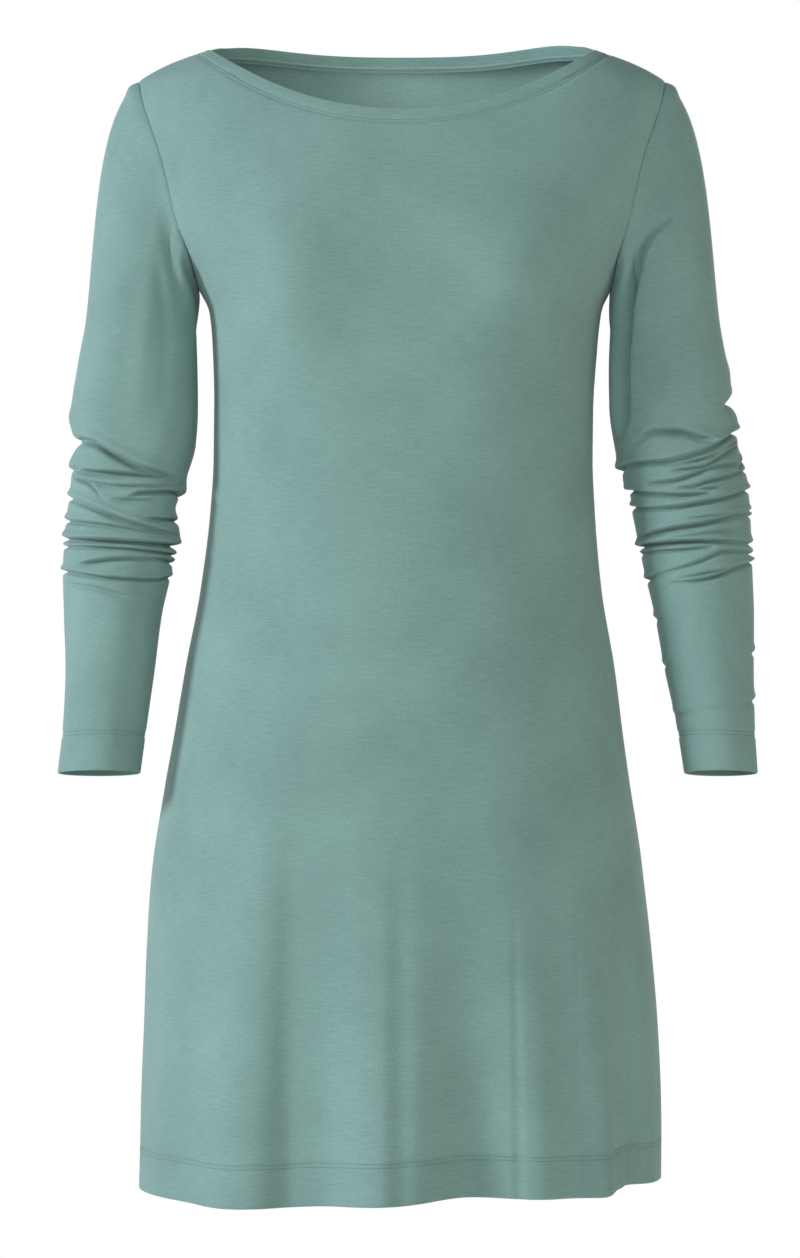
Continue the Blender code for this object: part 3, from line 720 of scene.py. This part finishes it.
def grid_facing(points):
    """The direction square to a grid at each of its points."""
    return unit(np.cross(np.gradient(points, axis=0), np.gradient(points, axis=1)))


def turned(edge, facing, away, deep):
    """Rows that carry the cloth round its folded edge and back up inside it, nearest the edge first."""
    rows = []
    for angle in np.linspace(0, math.pi, ROUND_FOLD)[1:]:
        out = FOLD_RADIUS * math.sin(angle)
        inward = FOLD_RADIUS * (1 - math.cos(angle))
        rows.append(edge + away * out - facing * inward)
    last = edge - facing * 2 * FOLD_RADIUS
    return rows + [last - away * step for step in np.linspace(0, deep, INSIDE_TURN)[1:]]


def placed(name, data):
    """A new object in the scene."""
    piece = bpy.data.objects.new(name, data)
    bpy.context.scene.collection.objects.link(piece)
    return piece


def cloth(name, points, wide, deep, round_it=False):
    """A sheet of cloth through a grid of points, or a tube of it. Its UV map is the flat cloth in metres."""
    rows, count = points.shape[:2]
    bm = bmesh.new()
    bmesh.ops.create_grid(bm, x_segments=count - 1, y_segments=rows - 1, size=1.0)
    mesh = bpy.data.meshes.new(name)
    bm.to_mesh(mesh)
    bm.free()
    order = np.zeros(len(mesh.vertices) * 3)
    mesh.vertices.foreach_get("co", order)
    order = order.reshape(-1, 3)
    column = np.rint((order[:, 0] + 1) / 2 * (count - 1)).astype(int)
    row = rows - 1 - np.rint((order[:, 1] + 1) / 2 * (rows - 1)).astype(int)
    mesh.vertices.foreach_set("co", (points[row, column] * MM).ravel())
    corner = np.zeros(len(mesh.loops), int)
    mesh.loops.foreach_get("vertex_index", corner)
    flat = np.stack([wide[row, column], -deep[row, column]], axis=1)[corner] * MM
    mesh.uv_layers.new(name="cloth").data.foreach_set("uv", flat.ravel())
    if round_it:
        bm = bmesh.new()
        bm.from_mesh(mesh)
        bmesh.ops.remove_doubles(bm, verts=bm.verts, dist=2e-5)
        bm.to_mesh(mesh)
        bm.free()
    mesh.update()
    mesh.shade_smooth()
    return placed(name, mesh)


def seam_puckers(along, away, phase):
    """Small uneven ripples in the cloth beside a seam, fading out away from it."""
    wave, short, slow = (along * 2 * math.pi / length for length in PUCKER_WAVES)
    ripple = np.sin(wave + phase) + 0.7 * np.sin(short + 2.1 * phase)
    return PUCKER * ripple * (0.6 + 0.4 * np.sin(slow + phase)) * nearness(away - PUCKER_AT, PUCKER_WIDTH)


def near_places(points, places):
    """How near each point of a grid is to the nearer of two places."""
    return nearness(np.linalg.norm(points[:, :, None] - places, axis=-1).min(axis=2), CORNER_REACH)


def panel(name, side, count):
    """The front or the back: its cloth, its stitches, the looper thread and the cover stitch."""
    points, neck_distance, shoulder_distance, hem_distance, on_neck = panel_grid(side, count)
    facing = grid_facing(points) * -side
    first, last = np.flatnonzero(on_neck)[[0, -1]]
    plain = body_facing(side, points[..., 0] - section("centre_x", points[..., 2]), points[..., 2])
    at_corner = near_places(points, points[0, [first, last]])
    facing = unit(facing * (1 - at_corner[..., None]) + plain * at_corner[..., None])
    wide = gone_along(points.transpose(1, 0, 2)).T
    from_side = np.minimum(wide, wide[:, -1:] - wide)
    sink = np.where(points[..., 2] > UNDERARM_HEIGHT - SIDE_SINK_BELOW, SEAM_SINK, SIDE_SINK)
    dip = sink * nearness(from_side, SEAM_WIDTH)
    dip += stitch_dip(neck_distance, NECK_ROWS)
    dip += seam_puckers(gone_along(points), from_side, side)
    if side == FRONT:
        dip += fold_relief(BODY_FOLDS, points[..., 0], points[..., 2])
    dip += stitch_dip(hem_distance, HEM_ROWS)[:, None]
    dip = np.maximum(dip, SEAM_SINK * nearness(shoulder_distance, SEAM_WIDTH))
    dip *= 1 - near_places(points, points[0, [0, -1]])
    shaped = points - facing * dip[..., None]
    shaped[..., 2] -= CORNER_DROP * at_corner**2

    from_corner = np.minimum(wide[0] - wide[0, first], wide[0, last] - wide[0])
    fold_in = (0.5 - 0.5 * np.cos(math.pi * np.clip(from_corner / CORNER_FADE, 0, 1)))[:, None]
    away_neck = -unit(points[1] - points[0])
    neck_rows = turned(shaped[0], facing[0], away_neck, NECK_TURN - 1)
    seam_rows = [shaped[0] - facing[0] * step for step in np.linspace(0, ALLOWANCE, len(neck_rows) + 1)[1:]]
    top = [fold_in * a + (1 - fold_in) * b for a, b in zip(neck_rows, seam_rows)][::-1]
    bottom = turned(shaped[-1], facing[-1], unit(points[-1] - points[-2]), HEM_TURN - 1)
    grid = np.concatenate([top, shaped, bottom])
    out = np.pad(facing, ((len(top), len(bottom)), (0, 0), (0, 0)), mode="edge")
    level_out = unit(out * (1, 0, 1))
    ends = [
        np.stack([grid[:, end] - level_out[:, end] * step for step in ALLOWANCE_STEPS], axis=1)
        for end in (0, -1)
    ]
    grid = np.concatenate([ends[0][:, ::-1], grid, ends[1]], axis=1)
    if side == BACK:
        grid = grid[:, ::-1]

    x, height = grid[..., 0], grid[..., 2]
    half = section("half_width", height)
    flat_x = around((x - section("centre_x", height)) / half) * half * QUARTER_GIRTH
    over_shoulder = np.clip((height - GRAIN_LEAN_FROM) / GRAIN_LEAN_OVER, 0, 1)
    lean = section("front_depth", height) - np.abs(grid[..., 1])
    piece = cloth(name, grid, flat_x, -height - GRAIN_LEAN * over_shoulder * lean)

    lines = [contour(shaped, facing, neck_distance, d) for d in NECK_ROWS]
    hem_rows = [np.argmin(np.abs(hem_distance - d)) for d in HEM_ROWS]
    lines += [(shaped[row], facing[row]) for row in hem_rows]
    runs = [dashes(*line, STITCH_PITCH, STITCH_LENGTH) for line in lines]
    within = fold_in[:, 0] > 0.99
    inside = shaped[0] - facing[0] * 2 * FOLD_RADIUS
    looped, one, other = ((inside - away_neck * d)[within] for d in (INNER_LINE, *INNER_ROWS))
    inward = -facing[0][within]
    looper = [dashes(looped, inward, STITCH_PITCH, STITCH_PITCH)]
    # The zigzag of the cover stitch is drawn in the dark thread: painted shade for the shadows between its
    # loops.
    return piece, runs + [zigzag(one, other, inward)], looper


def armhole(hand, share):
    """The seam's points and outward directions, from the shoulder round the front and back up behind."""
    down = 1 - np.abs(1 - 2 * share)
    height = SHOULDER_HEIGHT + down * (UNDERARM_HEIGHT - SHOULDER_HEIGHT)
    x = hand * armhole_width(height)
    ahead = (share <= 0.5)[:, None]
    points, facing = (
        np.where(ahead, find(FRONT, x, height), find(BACK, x, height)) for find in (on_body, body_facing)
    )
    at_seam = (share == 0) | (share == 0.5) | (share == 1)
    points[at_seam, 1] = 0
    facing[at_seam, 1] = 0
    return points, unit(facing)


def crease_relief(creases, turn, height):
    """How far the creases draw the cloth in. It hangs over each line from above and lies flat below it."""
    pull = np.zeros(np.broadcast(turn, height).shape)
    deeper = SIDE_DEPTH + (FRONT_DEPTH - SIDE_DEPTH) * np.abs(np.sin(np.radians(turn)))
    for width, lip, places in creases:
        turns, heights, depths = np.array(places, float).T
        for lap in (-360, 0, 360):
            near = turn + lap
            inside = (near > turns[0]) & (near < turns[-1])
            if not inside.any():
                continue
            deep = np.where(inside, smooth(near, turns, depths), 0)
            away = (height - smooth(near, turns, heights)) / width
            trough = nearness(away, np.where(away > 0, STEEP_SIDE, FLAT_SIDE))
            bulge = nearness(away - LIP_AT, np.where(away > LIP_AT, LIP_ABOVE, LIP_BELOW))
            pull += deeper * deep * trough - lip * deep / depths.max() * bulge
    return pull


def fold_relief(folds, across, height, around_it=False):
    """How far the soft folds that run down the cloth draw it in."""
    pull = np.zeros(np.broadcast(across, height).shape)
    for before, after, places in folds:
        heights, line, depths = np.array(places, float).T
        away = across - smooth(height, heights, line)
        if around_it:
            away = (away + 180) % 360 - 180
        pull += smooth(height, heights, depths) * nearness(away, np.where(away < 0, before, after))
    return pull


def dent_relief(dents, turn, height):
    """How far the dents draw the cloth in."""
    pull = np.zeros(np.broadcast(turn, height).shape)
    for at_turn, at_height, half_turn, half_height, depth in dents:
        away = (turn - at_turn + 180) % 360 - 180
        pull += depth * nearness(away, half_turn) * nearness(height - at_height, half_height)
    return pull


def arm_rings(table_rows, hand, turn, heights):
    """Level rings of the plain arm of a sleeve at these heights, each with a point at every turn."""
    height = heights[:, None]
    at, *sizes = np.array(table_rows, float).T
    outer, inner, front, back, middle = (smooth(height, at, size) for size in sizes)
    depth = np.where(np.sin(turn)[None, :] > 0, front, back)
    boxy = 2 / (2 + ARM_BOXY * np.clip((height - CREASES_TO) / (CREASES_FROM - CREASES_TO), 0, 1))
    across, ahead = (np.sign(v) * np.abs(v) ** boxy for v in (np.cos(turn)[None, :], np.sin(turn)[None, :]))
    x = (outer + inner) / 2 + (outer - inner) / 2 * across
    y = middle - depth * ahead
    tilt = CUFF_TILT * np.clip((CREASES_TO - height) / (CREASES_TO - CUFF_HEIGHT), 0, 1)
    at_turn = np.degrees(np.arctan2(np.sign(ahead) * np.sqrt(np.maximum(1 - across**2, 0)), across)) % 360
    return np.stack([hand * x, y, height - tilt * (y - middle)], axis=-1), at_turn


def sleeve(name, hand, table_rows, creases, dents, folds):
    """A sleeve: its cloth, the stitches of its cuff and those of its armhole seam."""
    share = np.linspace(0.5, 1.5, SLEEVE_ROUND + 1)
    ring_share = share % 1.0
    ring_share[0], ring_share[-1] = 0.5, 0.5
    seam, facing = armhole(hand, ring_share)
    edge = unit(np.gradient(seam, axis=0))
    edge[0] = edge[-1] = unit(seam[1] - seam[-2])
    away = unit(np.cross(facing, edge)) * hand
    low = 1 - np.abs(2 * ring_share - 1)
    fold = np.clip((low - FOLD_OVER_FROM) / (1 - FOLD_OVER_FROM), 0, 1) * math.pi
    sideways = HEAD_SIDEWAYS * np.outer(1 - low, [hand, 0, HEAD_FALL])
    leave = unit(away * np.cos(fold)[:, None] + facing * np.sin(fold)[:, None] + sideways)
    outward = unit(facing * np.cos(fold)[:, None] - away * np.sin(fold)[:, None])
    corner = np.minimum(fold, math.pi / 2)[:, None]
    start = seam + SEAM_GAP * unit(away * np.cos(corner) + facing * np.sin(corner))

    from_cuff = edge_distances(CUFF_ROWS, CUFF_TURN)[::-1]
    heights = np.concatenate([
        np.arange(ARM_TOP, CREASES_FROM, -PLAIN_STEP),
        np.arange(CREASES_FROM, CREASES_TO, -CREASE_STEP),
        np.arange(CREASES_TO, CUFF_HEIGHT + from_cuff[0] + PLAIN_STEP / 2, -PLAIN_STEP),
        CUFF_HEIGHT + from_cuff,
    ])
    arm, at_turn = arm_rings(table_rows, hand, share * 2 * math.pi, heights)
    reach = np.linalg.norm(arm[0] - start, axis=1)[:, None]
    pull_out = (HEAD_PULL_UNDER + HEAD_PULL_OVER * (1 - low) ** HEAD_PULL_CURVE)[:, None]
    draw_down = HEAD_DRAW * reach * np.array([HEAD_SLANT * hand, 0, -1.0])
    head_shares = np.concatenate([HEAD_EDGE_ROWS, np.linspace(HEAD_ROWS_FROM, 1, HEAD_ROWS)[:-1]])
    head = [blend(t, start, pull_out * leave, arm[0], draw_down) for t in head_shares]
    points = np.concatenate([head, arm])
    out = grid_facing(points) * -hand
    out[0] = outward

    degrees = np.pad(at_turn, ((len(head), 0), (0, 0)), mode="edge")
    from_seam = gone_along(points)
    pull = crease_relief(creases, degrees, points[..., 2])
    pull += dent_relief(dents, degrees, points[..., 2])
    pull += fold_relief(folds, degrees, points[..., 2], True)
    pull *= np.clip(from_seam / CREASES_OFF_SEAM, 0, 1)
    cuff_distance = np.concatenate([np.full(len(points) - len(from_cuff), FAR), from_cuff])
    pull += stitch_dip(cuff_distance, CUFF_ROWS)[:, None]
    at_top = (1 - low) ** HEAD_RIDGE_FADE
    pull += SEAM_SINK * (1 - HEAD_SEAM_FLAT * at_top) * nearness(from_seam, SEAM_WIDTH)
    pull += seam_puckers(gone_along(seam), from_seam, hand)
    pull -= HEAD_RIDGE * nearness(from_seam - HEAD_RIDGE_AT, HEAD_RIDGE_WIDTH) * at_top
    shaped = points - out * pull[..., None]

    top = [shaped[0] - out[0] * step for step in ALLOWANCE_STEPS[::-1]]
    bottom = turned(shaped[-1], out[-1], unit(points[-1] - points[-2]), CUFF_TURN - 1)
    grid = np.concatenate([top, shaped, bottom])
    if hand == LEFT:
        grid = grid[:, ::-1]
    wide = gone_along(grid.transpose(1, 0, 2)).T
    wide = wide - wide[:, [SLEEVE_ROUND // 2]]
    deep = gone_along(grid)
    piece = cloth(name, grid, wide, deep - deep[len(top) + len(head)], True)
    cuff_rows = [np.argmin(np.abs(cuff_distance - d)) for d in CUFF_ROWS]
    runs = [dashes(shaped[row], out[row], STITCH_PITCH, STITCH_LENGTH) for row in cuff_rows]
    line, facing = armhole(hand, np.linspace(0.01, 0.99, ARMHOLE_SAMPLES))
    return piece, runs, [dashes(line - facing * SEAM_SINK / 2, facing, SEAM_PITCH, SEAM_STITCH)]


def dashes(points, facing, pitch, length):
    """Stitches along a line: the start, the end and the outward direction of each."""
    gone = gone_along(points)
    middles = np.arange(pitch, gone[-1] - pitch / 2, pitch)
    start, end = (at_distances(points, gone, middles + half) for half in (-length / 2, length / 2))
    return start, end, at_distances(facing, gone, middles)


def zigzag(line, other, facing):
    """Thread that crosses to and fro between two lines: the start, end and direction of each stretch."""
    gone, gone_other = gone_along(line), gone_along(other)
    count = int(gone[-1] / ZIGZAG_PITCH)
    share = np.linspace(0, 1, count)
    odd = (np.arange(count) % 2 == 1)[:, None]
    on_line = at_distances(line, gone, share * gone[-1])
    path = np.where(odd, on_line, at_distances(other, gone_other, share * gone_other[-1]))
    return path[:-1], path[1:], at_distances(facing, gone, share * gone[-1])[:-1]


def stitches(name, runs, radius):
    """Sewing thread. Each run is the starts, ends and outward directions of its stitches."""
    bm = bmesh.new()
    bmesh.ops.create_uvsphere(bm, u_segments=6, v_segments=4, radius=1.0)
    one = np.array([v.co for v in bm.verts])
    faces = [[v.index for v in f.verts] for f in bm.faces]
    bm.free()
    places, all_faces = [], []
    for starts, ends, facing in runs:
        for start, end, out in zip(starts, ends, unit(facing)):
            half = (end - start) / 2
            across = unit(np.cross(out, half))
            all_faces += [[len(places) * len(one) + k for k in f] for f in faces]
            middle = (start + end) / 2 - out * THREAD_SUNK
            round_it = one[:, [0]] * across * radius + one[:, [1]] * out * radius
            places.append(middle + one[:, [2]] * half + round_it)
    mesh = bpy.data.meshes.new(name)
    mesh.from_pydata((np.concatenate(places) * MM).tolist(), [], all_faces)
    mesh.update()
    mesh.shade_smooth()
    return placed(name, mesh)


def linear(hex_colour):
    """An sRGB hex colour as linear red, green, blue and alpha."""
    parts = [int(hex_colour[i : i + 2], 16) / 255 for i in (1, 3, 5)]
    return (*[c / 12.92 if c <= 0.04045 else ((c + 0.055) / 1.055) ** 2.4 for c in parts], 1.0)


def add(tree, kind, links=None, **settings):
    """Adds one node with its settings, and links {input: socket} into it."""
    node = tree.nodes.new(kind)
    for key, value in settings.items():
        if key.startswith("in_"):
            socket = key[3:]
            socket = int(socket) if socket.isdigit() else socket.replace("_", " ")
            node.inputs[socket].default_value = value
        else:
            setattr(node, key, value)
    for target, socket in (links or {}).items():
        tree.links.new(socket, node.inputs[target])
    return node


def jersey(name, dark, light):
    """Single jersey knit of viscose and elastane: matt, with a soft nap that lights up at the edges."""
    material = bpy.data.materials.new(name)
    material.use_nodes = True
    tree = material.node_tree
    tree.nodes.clear()
    out = add(tree, "ShaderNodeOutputMaterial")
    uv = {"Vector": add(tree, "ShaderNodeUVMap", uv_map="cloth").outputs["UV"]}
    stretched = {"Vector": add(tree, "ShaderNodeMapping", uv, in_Scale=STREAKS).outputs["Vector"]}
    streak = add(tree, "ShaderNodeTexNoise", stretched, in_Scale=1.0, in_Detail=3.0)
    grain = add(tree, "ShaderNodeTexNoise", uv, in_Scale=GRAIN, in_Detail=2.0)
    cloudy = add(tree, "ShaderNodeTexNoise", uv, in_Scale=CLOUDS, in_Detail=2.0)
    mixed = streak.outputs["Fac"]
    for noise in (grain, cloudy):
        mixed = add(tree, "ShaderNodeMath", {0: mixed, 1: noise.outputs["Fac"]}, operation="ADD").outputs[0]
    tone = add(tree, "ShaderNodeMapRange", {"Value": mixed}, in_1=1.0, in_2=2.0)
    ramp = add(tree, "ShaderNodeValToRGB", {"Fac": tone.outputs[0]})
    for element, tint in zip(ramp.color_ramp.elements, (dark, light)):
        element.color = linear(tint)
    bump = add(tree, "ShaderNodeBump", {"Height": mixed}, in_Strength=0.25, in_Distance=0.0004)
    green = ramp.outputs["Color"]
    shader = add(
        tree, "ShaderNodeBsdfPrincipled", {"Base Color": green, "Normal": bump.outputs["Normal"]},
        in_Roughness=0.85, in_Sheen_Weight=0.25, in_Sheen_Roughness=0.45, in_Specular_IOR_Level=0.25,
    )
    through = add(tree, "ShaderNodeBsdfTranslucent", {"Color": green})
    layers = {1: shader.outputs["BSDF"], 2: through.outputs["BSDF"]}
    both = add(tree, "ShaderNodeMixShader", layers, in_Fac=LET_THROUGH)
    tree.links.new(both.outputs[0], out.inputs["Surface"])
    return material


def plain_material(name, tint, roughness):
    """A material of one colour, as for spun polyester thread."""
    material = bpy.data.materials.new(name)
    material.use_nodes = True
    shader = material.node_tree.nodes["Principled BSDF"]
    shader.inputs["Base Color"].default_value = linear(tint)
    shader.inputs["Roughness"].default_value = roughness
    return material


def studio():
    """A pale floor, a soft key light from the left, weaker fills, and the camera where the photo has it."""
    bpy.ops.mesh.primitive_circle_add(
        vertices=128, radius=FLOOR_RADIUS, fill_type="NGON", location=(0, 0, FLOOR_HEIGHT)
    )
    floor = bpy.context.active_object
    floor.name = "floor"
    pale = plain_material("pale_paper", "#b8b8b6", 0.9)
    paper = pale.node_tree.nodes["Principled BSDF"]
    paper.inputs["Emission Color"].default_value = (0.96, 1, 1, 1)
    paper.inputs["Emission Strength"].default_value = FLOOR_GLOW
    floor.data.materials.append(pale)
    for name, place, aim, size, power, colour in LAMPS:
        light = bpy.data.lights.new(name, "AREA")
        light.energy, light.size, light.color = power, size, colour
        if name == "inside":
            light.spread = math.radians(50)
        lamp = placed(name, light)
        lamp.visible_camera = False
        lamp.location = place
        lamp.rotation_euler = (Vector(aim) - Vector(place)).to_track_quat("-Z", "Y").to_euler()
    world = bpy.data.worlds.new("studio")
    bpy.context.scene.world = world
    world.use_nodes = True
    tree = world.node_tree
    tree.nodes.clear()
    out = add(tree, "ShaderNodeOutputWorld")
    seen = add(tree, "ShaderNodeLightPath").outputs["Is Camera Ray"]
    lit = add(tree, "ShaderNodeBackground", in_Strength=ROOM_LIGHT, in_Color=(0.78, 1.0, 1.18, 1))
    white = add(tree, "ShaderNodeBackground", in_Strength=1.0, in_Color=(1, 1, 1, 1))
    both = add(tree, "ShaderNodeMixShader", {0: seen, 1: lit.outputs[0], 2: white.outputs[0]})
    tree.links.new(both.outputs[0], out.inputs["Surface"])
    camera = bpy.data.cameras.new("camera")
    camera.sensor_width = SENSOR
    camera.lens = SENSOR / (PICTURE_HEIGHT / -CAMERA_PLACE[1])
    viewer = placed("camera", camera)
    viewer.location = CAMERA_PLACE
    viewer.rotation_euler = (math.pi / 2, 0, 0)
    bpy.context.scene.camera = viewer
    bpy.context.scene.view_settings.view_transform = "Standard"


studio()
cloth_green = jersey("viscose_jersey", "#748f89", "#8aa8a2")
# Stitch thread drawn darker than the cloth: painted shade for the dimples that the stitches sink into, and
# for the shadows between the loops of the cover stitch inside the neck.
stitch_thread_painted_shade = plain_material("polyester_thread_painted_shade", "#43605c", 0.6)
# Looper thread drawn paler than the cloth: a painted highlight along the lit edge of the thread.
looper_thread_painted_highlight = plain_material("looper_thread_painted_highlight_colour", "#9fbfba", 0.6)

front, front_runs, front_looper = panel("front_cloth", FRONT, FRONT_ACROSS)
back, back_runs, back_looper = panel("back_cloth", BACK, BACK_ACROSS)
left, left_runs, left_seam = sleeve(
    "sleeve_left_cloth", LEFT, SLEEVE_LEFT, CREASES_LEFT, DENTS_LEFT, SLEEVE_FOLDS_LEFT
)
right, right_runs, right_seam = sleeve(
    "sleeve_right_cloth", RIGHT, SLEEVE_RIGHT, CREASES_RIGHT, DENTS_RIGHT, SLEEVE_FOLDS_RIGHT
)

for piece, node, slot, flat, area in (
    (front, "front", "jersey_front", (0.60, 0.90), 0.41),
    (back, "back", "jersey_back", (0.60, 0.90), 0.42),
    (left, "sleeve_left", "jersey_sleeves", (0.36, 0.57), 0.13),
    (right, "sleeve_right", "jersey_sleeves", (0.36, 0.57), 0.13),
):
    piece.data.materials.append(cloth_green)
    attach(piece, "root")
    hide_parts(node)

for name, runs, radius, material in (
    ("front_stitches", front_runs, THREAD_RADIUS, stitch_thread_painted_shade),
    ("back_stitches", back_runs, THREAD_RADIUS, stitch_thread_painted_shade),
    ("sleeve_left_stitches", left_runs, THREAD_RADIUS, stitch_thread_painted_shade),
    ("sleeve_right_stitches", right_runs, THREAD_RADIUS, stitch_thread_painted_shade),
    ("armhole_left_stitches", left_seam, SEAM_THREAD, stitch_thread_painted_shade),
    ("armhole_right_stitches", right_seam, SEAM_THREAD, stitch_thread_painted_shade),
    ("front_neck_looper", front_looper, LOOPER_RADIUS, looper_thread_painted_highlight),
    ("back_neck_looper", back_looper, LOOPER_RADIUS, looper_thread_painted_highlight),
):
    piece = stitches(name, runs, radius)
    piece.data.materials.append(material)
    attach(piece, "root")
